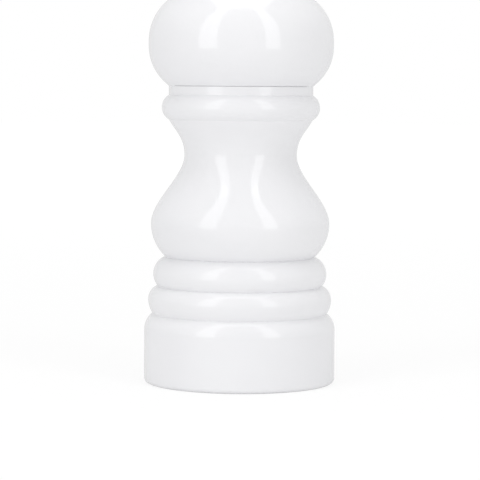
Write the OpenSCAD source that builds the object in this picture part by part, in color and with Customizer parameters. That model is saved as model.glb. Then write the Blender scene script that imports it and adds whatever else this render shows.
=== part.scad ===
// Turned, lacquered wooden pepper mill with an adjustable steel grinder.
// Millimetres. +Z is up along the mill's axis, and z = 0 is the table under the foot.

/* [Foot and rings] */
// Diameter of the foot
foot_d = 50; // [48:0.5:58]
// Height of the foot's upright wall
foot_wall_h = 14; // [12:0.5:18]
// Height of the foot's rounded shoulder, up to the first groove
foot_shoulder_h = 4.15; // [3:0.05:6]
// Rounding of the foot's bottom edge
foot_edge_r = 1.2; // [0.6:0.1:2]
// Diameter of the lower ring
lower_ring_d = 48; // [46:0.1:54]
// Height of the lower ring, groove to groove
lower_ring_h = 7.2; // [6:0.05:9]
// Height of the lower ring's widest line over the groove below it
lower_ring_apex = 3.7; // [2.6:0.05:4.2]
// Diameter of the upper ring
upper_ring_d = 45.4; // [43:0.1:51]
// Height of the upper ring, groove to groove
upper_ring_h = 7.65; // [6.2:0.05:9]
// Height of the upper ring's widest line over the groove below it
upper_ring_apex = 3.15; // [2.5:0.05:4.2]
// Depth of the grooves beside the lower ring
ring_groove = 1.15; // [0.6:0.05:1.8]

/* [Belly, waist and bead] */
// Diameter of the belly
belly_d = 46.7; // [44:0.1:54]
// Height from the belly's groove to its widest line
belly_low_h = 8.7; // [7:0.05:12]
// Depth of the groove between the upper ring and the belly
belly_groove = 3.15; // [2:0.05:4]
// Height from the belly's widest line to the waist
belly_high_h = 17.85; // [16:0.05:30]
// Diameter of the waist
waist_d = 29.4; // [28:0.1:33]
// Height from the waist to the bead
waist_high_h = 9.2; // [7:0.05:14]
// Diameter of the bead
bead_d = 41.3; // [39.5:0.1:44]
// Height of the bead
bead_h = 6.45; // [5:0.05:9]
// How far the bead stands out from the flare under it
bead_stand = 1.9; // [1.2:0.1:3]
// Diameter of the collar over the bead
collar_d = 37.7; // [36:0.1:39]
// Height of the collar
collar_h = 2.25; // [1.5:0.05:4]

/* [Head] */
// Diameter of the head
head_d = 48.3; // [45:0.1:56]
// Height of the head, from the seam to its flat top
head_h = 27.2; // [24:0.05:34]
// Height of the head's widest line over the seam
head_low_h = 11.0; // [9:0.05:13]
// Diameter of the head's lower edge
head_rim_d = 38.8; // [37:0.1:41]
// Chamfer under the head's lower edge
head_rim_edge = 0.5; // [0.3:0.1:0.8]
// Diameter of the flat on top of the head
head_seat_d = 16.4; // [15.8:0.1:20]
// Squareness of the head's curve, where 2 is an ellipse
head_fullness = 2.25; // [2:0.05:3]
// Width of the open line between the head and the body
seam_gap = 0.1; // [0.1:0.05:0.6]
// Diameter of the spigot under the head
spigot_d = 24.6; // [23:0.1:26]
// Length of the spigot
spigot_h = 8.65; // [7:0.05:11]
// Diameter of the hole through the head
head_bore_d = 9.2; // [8.8:0.1:10]

/* [Hollows in the body] */
// Diameter of the pepper chamber
chamber_d = 21; // [19:0.1:22.4]
// Room round the housing's flange in the recess
recess_room = 0.3; // [0.2:0.05:0.6]
// Depth of the recess under the foot
recess_depth = 6.0; // [5.6:0.1:8]
// Width of the chamfer around the recess
recess_chamfer = 0.7; // [0.3:0.1:1.2]
// Room over the guide bush, up to the cone under the chamber
bush_room = 1; // [0.5:0.1:2]

/* [Neck bearing] */
// Wall of the neck bearing's sleeve
bearing_wall = 0.9; // [0.7:0.1:1.2]
// Width of the collar's rim around the neck bearing's flange
neck_rim = 1.5; // [1:0.05:3]
// Thickness of the neck bearing's flange
bearing_flange_t = 0.9; // [0.8:0.1:1.5]

/* [Shaft] */
// Width across the flats of the square shaft
shaft_w = 6; // [5.4:0.1:6.2]
// Diameter of the thread on the shaft's upper end
thread_d = 6; // [5:0.1:6]
// Pitch of that thread
thread_pitch = 1; // [0.8:0.05:1.25]
// Length of that thread
thread_len = 15; // [13:0.5:20]
// Diameter of the round journal at the shaft's lower end
journal_d = 5; // [4.5:0.1:5.2]
// How far the journal reaches below the bottom bar
journal_reach = 1.1; // [1:0.1:1.6]
// Depth of the clip's groove in the journal
clip_groove = 0.5; // [0.4:0.05:0.7]
// Travel of the shaft from its rest position, up or down
set_travel = 0.75; // [0.5:0.05:0.8]

/* [Grinder] */
// Outer diameter of the grinder's housing
housing_d = 28.2; // [28:0.1:29]
// Wall of the housing
housing_wall = 1.0; // [0.8:0.1:1.2]
// Width of the housing's flange, out from the housing's wall
housing_flange_w = 6; // [5.7:0.1:6.1]
// Thickness of the housing's flange
housing_flange_t = 1.2; // [1:0.1:1.6]
// Width of the lip that the top of the housing turns in
housing_lip = 1.5; // [1:0.1:1.7]
// Height of the fixed burr
fixed_burr_h = 11.1; // [10:0.1:13]
// Width of the fixed burr's flat top, round its mouth
mouth_rim = 1.85; // [1.75:0.05:2.3]
// Thickness of the fixed burr at its throat
throat_wall = 4.15; // [4.05:0.05:4.35]
// Height of the throat over the fixed burr's lower face
throat_h = 3.6; // [3:0.1:3.7]
// Slope of the grinding faces from the axis, in degrees
grind_slope = 30; // [26:1:31]
// Gap between the two burrs at the rest setting
grind_gap = 0.5; // [0.48:0.02:0.8]
// Height of the moving burr
moving_burr_h = 7.2; // [6.6:0.1:7.6]
// Height of the moving burr's fine teeth
fine_h = 3.0; // [2.4:0.1:3.2]
// Diameter of the moving burr's top
burr_top_d = 12.4; // [12.2:0.1:13]
// Height of the plain disc on top of the moving burr
burr_disc_h = 1.0; // [0.8:0.1:1.4]
// Width of the cutter that leaves the fine teeth
tooth_w = 0.65; // [0.5:0.05:0.7]
// Number of fine teeth on the moving burr
moving_fine_teeth = 32; // [24:1:36]
// Number of coarse flutes on the moving burr
moving_flutes = 7; // [5:1:8]
// Diameter of the moving burr's flutes
moving_flute_d = 2.6; // [2:0.1:2.8]
// Number of fine teeth in the fixed burr
fixed_fine_teeth = 36; // [24:1:40]
// Number of coarse flutes in the fixed burr
fixed_flutes = 12; // [8:1:14]
// Diameter of the fixed burr's flutes
fixed_flute_d = 2.2; // [1.6:0.1:2.4]

/* [Stirrup, bush and spring] */
// Height of the stirrup's ring
stirrup_ring_h = 2.0; // [1.6:0.1:3]
// Height from the stirrup's ring to the underside of its bridge
stirrup_rise = 3.4; // [3.2:0.1:5]
// Thickness of the stirrup's two legs
leg_t = 1.7; // [1.3:0.1:2]
// Thickness of the stirrup's bridge
bridge_t = 1.6; // [1.2:0.1:2.4]
// Width of the stirrup's bridge
bridge_w = 7; // [5:0.1:8]
// Diameter of the boss in the middle of the bridge
bridge_boss_d = 13.2; // [12.8:0.1:14.4]
// Diameter of the guide bush
bush_d = 10.4; // [10:0.1:11]
// Diameter of the guide bush's flange
bush_flange_d = 12.6; // [12.4:0.1:13]
// Thickness of the guide bush's flange
bush_flange_t = 1.1; // [0.9:0.1:1.4]
// How far the guide bush stands over the bridge
bush_proud = 0.6; // [0.3:0.1:1]
// Diameter of the spring's wire
wire_d = 1.0; // [0.8:0.05:1.05]
// Outer diameter of the spring
spring_d = 11.8; // [11.7:0.1:12]
// Turns of the spring
spring_turns = 4; // [3.5:0.5:4.5]

/* [Bottom bar, clip and fasteners] */
// Thickness of the bottom bar
bar_t = 1.5; // [1.2:0.1:2]
// Width of the bottom bar
bar_w = 8; // [7:0.1:10]
// How far the bottom bar stops short of the flange's edge
bar_end_inset = 0.9; // [0.6:0.1:1.2]
// Diameter of the bottom bar's middle
bar_hub_d = 13; // [11:0.1:16]
// Distance from the housing's wall to the middle of each of the bar's screws
bar_screw_offset = 2.7; // [2.5:0.05:2.8]
// Diameter of the bottom bar's screws
bar_screw_d = 3.0; // [2.5:0.1:3.2]
// Length of the bottom bar's screws under the head
bar_screw_len = 11; // [8:0.5:14]
// Diameter of the bottom bar's screw heads
bar_screw_head_d = 5.4; // [5:0.1:5.6]
// Height of the bottom bar's screw heads
bar_screw_head_h = 1.7; // [1.2:0.1:2]
// Diameter of the pins that stop the fixed burr turning
pin_d = 1; // [0.8:0.1:1.1]
// How far those pins reach into the fixed burr
pin_reach = 2.4; // [1.6:0.1:4]
// Metal of the fixed burr outside the pins' holes
pin_cover = 0.3; // [0.25:0.05:0.35]
// Thickness of the retaining clip
clip_t = 0.7; // [0.5:0.05:0.8]
// Diameter of the retaining clip
clip_d = 9.4; // [8:0.1:10]
// Thickness of the washer under the moving burr
burr_washer_t = 0.5; // [0.4:0.05:0.6]
// Diameter of the washer under the moving burr
burr_washer_d = 10.6; // [9:0.1:11.6]
// Height of the moving burr's rim over the bottom bar
rim_clearance = 1.0; // [0.95:0.05:1.2]
// Height of the retaining clip over the bottom bar
clip_clearance = 1.2; // [1:0.05:1.4]

/* [Drive plate] */
// Diameter of the drive plate
plate_d = 21.6; // [20:0.1:22]
// Thickness of the drive plate
plate_t = 1.6; // [1.3:0.1:2]
// Number of screws in the drive plate
plate_screws = 3; // [2:1:4]
// Distance from the drive plate's edge to the middle of each of its screws
plate_screw_inset = 2.9; // [2.6:0.1:3.3]
// Diameter of the drive plate's screws
plate_screw_d = 2.2; // [1.8:0.1:2.4]
// Length of the drive plate's screws
plate_screw_len = 9; // [7:0.5:12]

/* [Ferrule, washer and knob] */
// Diameter of the ferrule's flange
ferrule_d = 15.6; // [14.6:0.1:16.2]
// Thickness of the ferrule's flange
ferrule_t = 0.8; // [0.6:0.05:1.2]
// Wall of the ferrule's tube
ferrule_wall = 0.55; // [0.4:0.05:0.8]
// Length of the ferrule's tube
ferrule_tube_h = 6; // [4:0.5:9]
// Diameter of the washer under the knob
knob_washer_d = 13.6; // [13:0.1:14.4]
// Thickness of the washer under the knob
knob_washer_t = 0.7; // [0.5:0.05:1]
// Height of the knob
knob_h = 13.75; // [13.2:0.05:16]
// Diameter of the knob's ball
knob_ball_d = 13; // [12.4:0.1:13.4]
// Diameter of the knob's neck
knob_neck_d = 9.8; // [9.6:0.1:10.4]
// Diameter of the knob's flange
knob_flange_d = 12.4; // [12:0.1:13]
// Thickness of the knob's flange
knob_flange_t = 1.3; // [1:0.1:1.6]
// Diameter of the threaded insert in the knob
insert_d = 8.2; // [7.6:0.1:8.4]
// Length of the threaded insert
insert_len = 10.8; // [10.6:0.1:11]

/* [Clearances] */
// Radial clearance of parts that turn or slide in each other
running = 0.06; // [0.03:0.01:0.08]
// Radial clearance of parts that are set into each other
seated = 0.05; // [0.03:0.01:0.1]

/* [Hidden] */
$fn = 96;

arc_steps = 9;      // flats along one quarter or less of a turned curve
belly_pull = 0.33;  // how far the belly's curve holds its width, as a share of its height
waist_pull = 0.31;  // how far the waist's curve holds its width below, as a share of that height
flare_hold = 0.5;   // how far the flare holds the waist's width, as a share of its height
flare_pull = 0.325; // how far the flare's end runs straight, as a share of its height
flare_lean = 0.52;  // how much the flare's end opens for each unit of height
edge_break = 0.3;   // chamfer on the edges of turned and machined pieces
sweep_overlap = 1;  // how far a cutter runs past the face that it opens
slot_w = 0.8;       // width of a screw's driving slot
slot_depth = 0.8;   // depth of a screw's driving slot
wood_pitch = 1.2;   // pitch of the wood screws' threads
wood_depth = 0.35;  // depth of the wood screws' threads
hole_room = 0.5;    // how far a hole or recess runs past the end of what is in it
thread_share = 0.54; // depth of the shaft's thread, of its pitch
corner_share = 1.36; // diameter that the shaft's corners are turned to, of its width
fine_helix = 20;    // lean of the fine teeth, in degrees
fixed_helix = 25;   // lean of the fixed burr's flutes, in degrees
moving_helix = 32;  // lean of the moving burr's flutes, in degrees
joint_lap = 0.01;   // overlap of a piece's own solids, which joins them

// Levels of the body, from the table up
groove_low_z = foot_wall_h + foot_shoulder_h;
groove_mid_z = groove_low_z + lower_ring_h;
groove_high_z = groove_mid_z + upper_ring_h;
belly_z = groove_high_z + belly_low_h;
waist_z = belly_z + belly_high_h;
bead_low_z = waist_z + waist_high_h;
bead_high_z = bead_low_z + bead_h;
rim_z = bead_high_z + collar_h;

// Radii of the grooves, each cut below the narrower of its two neighbours
groove_low_r = min(foot_d, lower_ring_d) / 2 - ring_groove;
groove_mid_r = min(lower_ring_d, upper_ring_d) / 2 - ring_groove;
groove_high_r = min(upper_ring_d, belly_d) / 2 - belly_groove;

// Levels of the head and the knob
seam_z = rim_z + seam_gap;
head_top_z = seam_z + head_h;
spigot_z = seam_z - spigot_h;
ferrule_top_z = head_top_z + ferrule_t;
knob_z = ferrule_top_z + knob_washer_t;

// Levels of the grinder, from the ledge that its flange seats on
ledge_z = recess_depth;
bar_top_z = ledge_z - housing_flange_t;
bar_z = bar_top_z - bar_t;
fixed_top_z = bar_top_z + fixed_burr_h;
throat_z = bar_top_z + throat_h;
stirrup_top_z = fixed_top_z + stirrup_ring_h;
housing_top_z = stirrup_top_z + housing_wall;
bridge_z = stirrup_top_z + stirrup_rise;
bridge_top_z = bridge_z + bridge_t;
bush_flange_z = bridge_z - running - bush_flange_t;
bush_top_z = bridge_top_z + bush_proud;

// Levels of the shaft and what it carries
rim_low_z = bar_top_z + rim_clearance;
burr_top_z = rim_low_z + moving_burr_h;
clip_z = bar_top_z + clip_clearance;
washer_z = clip_z + clip_t;
shoulder_z = washer_z + burr_washer_t;
shaft_low_z = bar_z - journal_reach;
thread_room = set_travel + hole_room;
thread_top_z = knob_z + insert_len - thread_room;
thread_low_z = thread_top_z - thread_len;

// Sizes that follow the piece they hold, fill or sit on
housing_bore_d = housing_d + 2 * seated;
housing_inner_d = housing_d - 2 * housing_wall;
housing_flange_d = housing_d + 2 * housing_flange_w;
recess_d = housing_flange_d + 2 * recess_room;
bar_len = housing_flange_d - 2 * bar_end_inset;
bar_screw_span = housing_d + 2 * bar_screw_offset;
burr_outer_d = housing_inner_d - 2 * seated;
fixed_burr_mouth_d = burr_outer_d - 2 * mouth_rim;
fixed_burr_throat_d = burr_outer_d - 2 * throat_wall;
pin_span = burr_outer_d - pin_d - 2 * seated - 2 * pin_cover;
plate_screw_circle_d = plate_d - 2 * plate_screw_inset;
stirrup_leg_d = housing_inner_d - 2 * housing_lip - 2 * seated;
sleeve_inner_d = spigot_d + 2 * running;
sleeve_outer_d = sleeve_inner_d + 2 * bearing_wall;
bearing_flange_d = collar_d - 2 * neck_rim - 2 * seated;
socket_z = spigot_z - edge_break;
square_hole_w = shaft_w + 2 * seated;
bore_top_z = bush_top_z + bush_room;

// The list of points, last first
function reversed(points) = [for (i = [len(points) - 1:-1:0]) points[i]];

// An arc from its widest or narrowest point at (ra, za), where it runs along the axis, to (rb, zb)
function turned_arc(ra, za, rb, zb) =
    let (dr = abs(ra - rb), dz = abs(zb - za), rho = (dr * dr + dz * dz) / (2 * dr),
         sweep = atan2(dz, rho - dr))
    [for (i = [0:arc_steps])
        let (a = sweep * i / arc_steps)
        [ra + sign(rb - ra) * rho * (1 - cos(a)), za + sign(zb - za) * rho * sin(a)]];

// A cubic curve from p to s, shaped by its handles q and r
function swept_curve(p, q, r, s) =
    [for (i = [0:2 * arc_steps])
        let (t = i / (2 * arc_steps), u = 1 - t)
        u * u * u * p + 3 * u * u * t * q + 3 * u * t * t * r + t * t * t * s];

// A quarter round of radius r, centred on (cx, cz), from angle a to angle b
function rounding(cx, cz, r, a, b) =
    [for (i = [0:arc_steps])
        let (t = a + (b - a) * i / arc_steps)
        [cx + r * cos(t), cz + r * sin(t)]];

// Height of a superellipse of half width a that passes through radius r at height h
function crown(a, r, h) = h / pow(1 - pow(r / a, head_fullness), 1 / head_fullness);

// One side of a superellipse from its widest point at z0 to radius r_end at z0 + h
function crowned(a, r_end, z0, h) =
    let (b = crown(a, r_end, abs(h)), last = acos(pow(r_end / a, head_fullness / 2)))
    [for (i = [0:2 * arc_steps])
        let (t = last * i / (2 * arc_steps))
        [a * pow(cos(t), 2 / head_fullness), z0 + sign(h) * b * pow(sin(t), 2 / head_fullness)]];

// The saw-tooth side of a thread between two heights
function threaded_side(r, depth, pitch, z0, z1) =
    let (n = floor((z1 - z0) / pitch))
    [for (i = [0:n - 1]) for (p = [[r - depth, 0], [r, 0.5]])
        [p[0], z0 + (z1 - z0) * (i + p[1]) / n]];

function foot_side() = concat(
    rounding(foot_d / 2 - foot_edge_r, foot_edge_r, foot_edge_r, -90, 0),
    turned_arc(foot_d / 2, foot_wall_h, groove_low_r, groove_low_z));

function ring_side(low, high, apex_r, apex_z, low_r, high_r) = concat(
    reversed(turned_arc(apex_r, apex_z, low_r, low)),
    turned_arc(apex_r, apex_z, high_r, high));

function belly_side() = concat(
    reversed(turned_arc(belly_d / 2, belly_z, groove_high_r, groove_high_z)),
    swept_curve([belly_d / 2, belly_z], [belly_d / 2, belly_z + belly_pull * belly_high_h],
                [waist_d / 2, waist_z - waist_pull * belly_high_h], [waist_d / 2, waist_z]));

function flare_side() =
    let (lip_r = bead_d / 2 - bead_stand, end = flare_pull * waist_high_h)
    swept_curve([waist_d / 2, waist_z], [waist_d / 2, waist_z + flare_hold * waist_high_h],
                [lip_r - flare_lean * end, bead_low_z - end], [lip_r, bead_low_z]);

function bead_side() = ring_side(
    bead_low_z, bead_high_z, bead_d / 2, (bead_low_z + bead_high_z) / 2,
    bead_d / 2 - bead_stand, collar_d / 2);

function body_outline() = concat(
    [[0, 0]],
    foot_side(),
    ring_side(groove_low_z, groove_mid_z, lower_ring_d / 2, groove_low_z + lower_ring_apex,
              groove_low_r, groove_mid_r),
    ring_side(groove_mid_z, groove_high_z, upper_ring_d / 2, groove_mid_z + upper_ring_apex,
              groove_mid_r, groove_high_r),
    belly_side(),
    flare_side(),
    bead_side(),
    [[collar_d / 2, rim_z - edge_break], [collar_d / 2 - edge_break, rim_z], [0, rim_z]]);

// Turns a list of (radius, height) points into a solid
module turned(points) {
    rotate_extrude() polygon(points);
}

// A hole from z0 up to z1
module bore(d, z0, z1) {
    translate([0, 0, z0]) cylinder(d = d, h = z1 - z0);
}

// A ring with a square cross-section
module tube(d, hole, z0, z1) {
    difference() {
        bore(d, z0, z1);
        bore(hole, z0 - sweep_overlap, z1 + sweep_overlap);
    }
}

// A square hole or bar along the axis
module square_bar(w, z0, z1) {
    translate([-w / 2, -w / 2, z0]) cube([w, w, z1 - z0]);
}

// Copies its children to the two ends of the bottom bar
module at_ends(span) {
    for (side = [-1, 1]) translate([side * span / 2, 0, 0]) children();
}

// Copies its children round the axis at radius r
module round_axis(count, r) {
    for (i = [0:count - 1]) rotate([0, 0, 360 * i / count]) translate([r, 0, 0]) children();
}

// Bars laid along a cone, which cut its teeth. slope leans them in as they rise, helix twists them.
module tooth_cutters(count, r, z, slope, helix, w, len) {
    round_axis(count, r) translate([0, 0, z]) rotate([helix, 0, 0]) rotate([0, -slope, 0])
        rotate([0, 0, 45]) cube([w, w, len], center = true);
}

// Round bars laid along a cone, which cut its flutes
module flute_cutters(count, r, z, slope, helix, d, len) {
    round_axis(count, r) translate([0, 0, z]) rotate([helix, 0, 0]) rotate([0, -slope, 0])
        cylinder(d = d, h = len, center = true);
}

module body_shell() {
    color("white") difference() {
        turned(body_outline());
        bore(recess_d, -sweep_overlap, ledge_z);
        translate([0, 0, -joint_lap]) cylinder(
            r1 = recess_d / 2 + recess_chamfer, r2 = recess_d / 2, h = recess_chamfer + joint_lap);
        bore(housing_bore_d, ledge_z - sweep_overlap, bore_top_z);
        translate([0, 0, bore_top_z]) cylinder(
            d1 = housing_bore_d, d2 = chamber_d, h = (housing_bore_d - chamber_d) / 2);
        bore(chamber_d, bore_top_z, rim_z);
        bore(sleeve_outer_d + 2 * seated, socket_z, rim_z + sweep_overlap);
        bore(bearing_flange_d + 2 * seated, seam_z - bearing_flange_t, rim_z + sweep_overlap);
        at_ends(bar_screw_span) bore(bar_screw_d + 2 * seated, bar_z, bar_z + bar_screw_len + hole_room);
    }
}

module neck_bearing() {
    color("ivory") {
        difference() {
            union() {
                bore(sleeve_outer_d, socket_z, seam_z - bearing_flange_t / 2);
                bore(bearing_flange_d, seam_z - bearing_flange_t, seam_z);
            }
            bore(sleeve_inner_d, socket_z - sweep_overlap, seam_z + sweep_overlap);
        }
    }
}

module mechanism_housing() {
    color("silver") difference() {
        union() {
            bore(housing_flange_d, bar_top_z, ledge_z);
            bore(housing_d, bar_top_z, housing_top_z);
        }
        bore(housing_inner_d, bar_top_z - sweep_overlap, stirrup_top_z);
        bore(housing_inner_d - 2 * housing_lip, stirrup_top_z - sweep_overlap,
             housing_top_z + sweep_overlap);
        at_ends(bar_screw_span)
            bore(bar_screw_d + 4 * seated, bar_top_z - sweep_overlap, ledge_z + sweep_overlap);
    }
}

module fixed_burr() {
    throat_r = fixed_burr_throat_d / 2;
    mouth_r = fixed_burr_mouth_d / 2;
    outlet_r = throat_r + throat_h * tan(grind_slope);
    funnel_h = fixed_burr_h - throat_h;
    funnel_slope = -atan((mouth_r - throat_r) / funnel_h);
    color("dimgray") difference() {
        turned([
            [outlet_r, bar_top_z], [burr_outer_d / 2, bar_top_z], [burr_outer_d / 2, fixed_top_z],
            [mouth_r, fixed_top_z], [throat_r, throat_z]
        ]);
        tooth_cutters(fixed_fine_teeth, (throat_r + outlet_r) / 2, bar_top_z + throat_h / 2,
                      grind_slope, -fine_helix, tooth_w, throat_h / cos(grind_slope) + tooth_w);
        flute_cutters(fixed_flutes, (throat_r + mouth_r) / 2, throat_z + (funnel_h + fixed_flute_d) / 2,
                      funnel_slope, -fixed_helix, fixed_flute_d, funnel_h + fixed_flute_d);
        at_ends(pin_span)
            bore(pin_d + 2 * seated, bar_top_z - sweep_overlap, bar_top_z + pin_reach + hole_room / 2);
    }
}

module bearing_stirrup() {
    color("silver") difference() {
        union() {
            tube(burr_outer_d, fixed_burr_mouth_d, fixed_top_z, stirrup_top_z);
            intersection() {
                tube(stirrup_leg_d, stirrup_leg_d - 2 * leg_t, fixed_top_z, bridge_top_z);
                translate([-stirrup_leg_d, -bridge_w / 2, fixed_top_z])
                    cube([2 * stirrup_leg_d, bridge_w, bridge_top_z - fixed_top_z]);
            }
            intersection() {
                bore(stirrup_leg_d, bridge_z, bridge_top_z);
                translate([-stirrup_leg_d, -bridge_w / 2, bridge_z])
                    cube([2 * stirrup_leg_d, bridge_w, bridge_t]);
            }
            bore(bridge_boss_d, bridge_z, bridge_top_z);
        }
        bore(bush_d + 2 * running, bridge_z - sweep_overlap, bridge_top_z + sweep_overlap);
    }
}

module bottom_bar() {
    color("silver") difference() {
        union() {
            bore(bar_hub_d, bar_z, bar_top_z);
            intersection() {
                bore(bar_len, bar_z, bar_top_z);
                translate([-bar_len / 2, -bar_w / 2, bar_z]) cube([bar_len, bar_w, bar_t]);
            }
        }
        bore(journal_d + 2 * running, bar_z - sweep_overlap, bar_top_z + sweep_overlap);
        at_ends(bar_screw_span)
            bore(bar_screw_d + 4 * seated, bar_z - sweep_overlap, bar_top_z + sweep_overlap);
        at_ends(pin_span)
            bore(pin_d + 2 * seated, bar_z - sweep_overlap, bar_top_z + sweep_overlap);
    }
}

module locating_pins() {
    color("dimgray") at_ends(pin_span) bore(pin_d, bar_z, bar_top_z + pin_reach);
}

// A wood screw with its head's underside at z0, pointing up, before its slot is cut
module wood_screw(d, len, z0) {
    r = d / 2;
    tip = d * 0.8;
    turned(concat(
        [[0, z0 - joint_lap], [r - wood_depth, z0 - joint_lap]],
        threaded_side(r, wood_depth, wood_pitch, z0 + wood_pitch / 2, z0 + len - tip),
        [[r - wood_depth, z0 + len - tip], [0, z0 + len]]));
}

module bottom_bar_screws() {
    head_r = bar_screw_head_d / 2;
    rim = bar_screw_head_h / 3;
    color("silver") at_ends(bar_screw_span) difference() {
        union() {
            wood_screw(bar_screw_d, bar_screw_len, bar_z);
            turned(concat(
                [[0, bar_z], [head_r, bar_z]],
                [for (i = [0:arc_steps])
                    let (a = 90 * i / arc_steps)
                    [head_r * cos(a), bar_z - rim - (bar_screw_head_h - rim) * sin(a)]]));
        }
        translate([-slot_w / 2, -head_r - sweep_overlap, bar_z - bar_screw_head_h - sweep_overlap])
            cube([slot_w, 2 * (head_r + sweep_overlap), slot_depth + sweep_overlap]);
    }
}

module guide_bush() {
    color("goldenrod") difference() {
        union() {
            bore(bush_d, bush_flange_z, bush_top_z);
            bore(bush_flange_d, bush_flange_z, bush_flange_z + bush_flange_t);
        }
        square_bar(square_hole_w, bush_flange_z - sweep_overlap, bush_top_z + sweep_overlap);
    }
}

// Centre line and tube of the spring: close turns at both ends, open turns between
spring_sides = 8;
spring_steps = 20;
spring_gap = 0.02;
end_pitch = wire_d * 1.1;
open_pitch = (bush_flange_z - burr_top_z - 2 * spring_gap - wire_d - 2 * end_pitch) / (spring_turns - 2);
function spring_rise(turn) =
    min(turn, 1) * end_pitch
    + max(0, min(turn - 1, spring_turns - 2)) * open_pitch
    + max(0, turn - (spring_turns - 1)) * end_pitch;
function spring_point(i, k) =
    let (turn = i / spring_steps, a = 360 * turn, b = 360 * (k + 0.5) / spring_sides,
         r = (spring_d - wire_d) / 2 + wire_d / 2 * cos(b))
    [r * cos(a), r * sin(a),
     burr_top_z + spring_gap + wire_d / 2 + spring_rise(turn) + wire_d / 2 * sin(b)];

module burr_spring() {
    rings = spring_turns * spring_steps;
    points = [for (i = [0:rings]) for (k = [0:spring_sides - 1]) spring_point(i, k)];
    sides = [for (i = [0:rings - 1]) for (k = [0:spring_sides - 1])
        let (j = (k + 1) % spring_sides, a = i * spring_sides, b = a + spring_sides)
        [a + k, a + j, b + j, b + k]];
    first = [for (k = [spring_sides - 1:-1:0]) k];
    last = [for (k = [0:spring_sides - 1]) rings * spring_sides + k];
    color("lightsteelblue") polyhedron(points = points, faces = concat(sides, [first], [last]));
}

module shaft() {
    neck_r = journal_d / 2 - clip_groove;
    root_r = thread_d / 2 - thread_share * thread_pitch;
    last_z = thread_top_z - 2 * edge_break;
    color("silver") union() {
        difference() {
            bore(journal_d, shaft_low_z, shoulder_z + hole_room);
            tube(journal_d + 2 * sweep_overlap, 2 * neck_r, clip_z - seated, washer_z);
        }
        intersection() {
            square_bar(shaft_w, shoulder_z, thread_low_z);
            bore(shaft_w * corner_share, shoulder_z, thread_low_z);
        }
        turned(concat(
            [[0, thread_low_z - hole_room], [root_r, thread_low_z - hole_room]],
            threaded_side(thread_d / 2, thread_d / 2 - root_r, thread_pitch, thread_low_z, last_z),
            [[root_r, last_z], [root_r, thread_top_z - edge_break],
             [root_r - edge_break, thread_top_z], [0, thread_top_z]]));
    }
}

module moving_burr() {
    tip_r = fixed_burr_throat_d / 2 - grind_gap + (throat_z - rim_low_z) * tan(grind_slope);
    fine_top_z = rim_low_z + fine_h;
    fine_top_r = tip_r - fine_h * tan(grind_slope);
    top_r = burr_top_d / 2;
    disc_z = burr_top_z - burr_disc_h;
    cone_h = disc_z - fine_top_z;
    cone_slope = atan((fine_top_r - top_r) / cone_h);
    color("dimgray") difference() {
        turned([
            [0, rim_low_z], [tip_r, rim_low_z], [fine_top_r, fine_top_z], [top_r, disc_z],
            [top_r, burr_top_z], [0, burr_top_z]
        ]);
        bore(burr_washer_d + 2 * edge_break, rim_low_z - sweep_overlap, shoulder_z);
        square_bar(square_hole_w, rim_low_z, burr_top_z + sweep_overlap);
        tooth_cutters(moving_fine_teeth, (tip_r + fine_top_r) / 2, rim_low_z + fine_h / 2,
                      grind_slope, fine_helix, tooth_w, fine_h / cos(grind_slope) + tooth_w);
        flute_cutters(moving_flutes, (fine_top_r + top_r + edge_break) / 2, fine_top_z + cone_h / 3,
                      cone_slope, moving_helix, moving_flute_d, cone_h);
    }
}

module burr_washer() {
    color("silver") tube(burr_washer_d, journal_d + 4 * seated, washer_z, shoulder_z);
}

module retaining_clip() {
    neck_d = journal_d - 2 * clip_groove;
    throat_w = neck_d * 0.72;
    lobe_d = neck_d * 0.42;
    color("dimgray") difference() {
        bore(clip_d, clip_z, washer_z);
        bore(neck_d + 2 * seated, clip_z - sweep_overlap, washer_z + sweep_overlap);
        translate([0, -throat_w / 2, clip_z - sweep_overlap])
            cube([clip_d, throat_w, clip_t + 2 * sweep_overlap]);
        for (a = [120, 240]) rotate([0, 0, a]) translate([neck_d / 2 + edge_break, 0, 0])
            bore(lobe_d, clip_z - sweep_overlap, washer_z + sweep_overlap);
    }
}

module head_shell() {
    rim_r = head_rim_d / 2;
    spigot_r = spigot_d / 2;
    color("white") difference() {
        turned(concat(
            [[0, spigot_z], [spigot_r - edge_break, spigot_z], [spigot_r, spigot_z + edge_break],
             [spigot_r, seam_z], [rim_r - head_rim_edge, seam_z]],
            reversed(crowned(head_d / 2, rim_r, seam_z + head_low_h, head_rim_edge - head_low_h)),
            crowned(head_d / 2, head_seat_d / 2, seam_z + head_low_h, head_h - head_low_h),
            [[0, head_top_z]]));
        bore(head_bore_d, spigot_z - sweep_overlap, head_top_z + sweep_overlap);
        bore(plate_d + 2 * seated, spigot_z - sweep_overlap, spigot_z + plate_t);
        bore(head_bore_d + 2 * (ferrule_wall + seated), head_top_z - ferrule_tube_h - hole_room,
             head_top_z + sweep_overlap);
        round_axis(plate_screws, plate_screw_circle_d / 2)
            bore(plate_screw_d + 2 * seated, spigot_z, spigot_z + plate_screw_len + hole_room);
    }
}

module head_ferrule() {
    tube_d = head_bore_d + 2 * ferrule_wall;
    color("silver") difference() {
        union() {
            turned([
                [0, head_top_z], [ferrule_d / 2, head_top_z],
                [ferrule_d / 2, ferrule_top_z - ferrule_t / 2],
                [ferrule_d / 2 - ferrule_t / 2, ferrule_top_z], [0, ferrule_top_z]
            ]);
            bore(tube_d, head_top_z - ferrule_tube_h, ferrule_top_z);
        }
        bore(head_bore_d, head_top_z - ferrule_tube_h - sweep_overlap, ferrule_top_z + sweep_overlap);
    }
}

// A countersink and clearance hole for one drive plate screw, or the head and shank that fill it
module countersunk(extra) {
    head_r = plate_screw_d * 0.95;
    translate([0, 0, spigot_z]) cylinder(
        r1 = head_r + extra, r2 = plate_screw_d / 2 + extra, h = head_r - plate_screw_d / 2);
}

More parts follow.
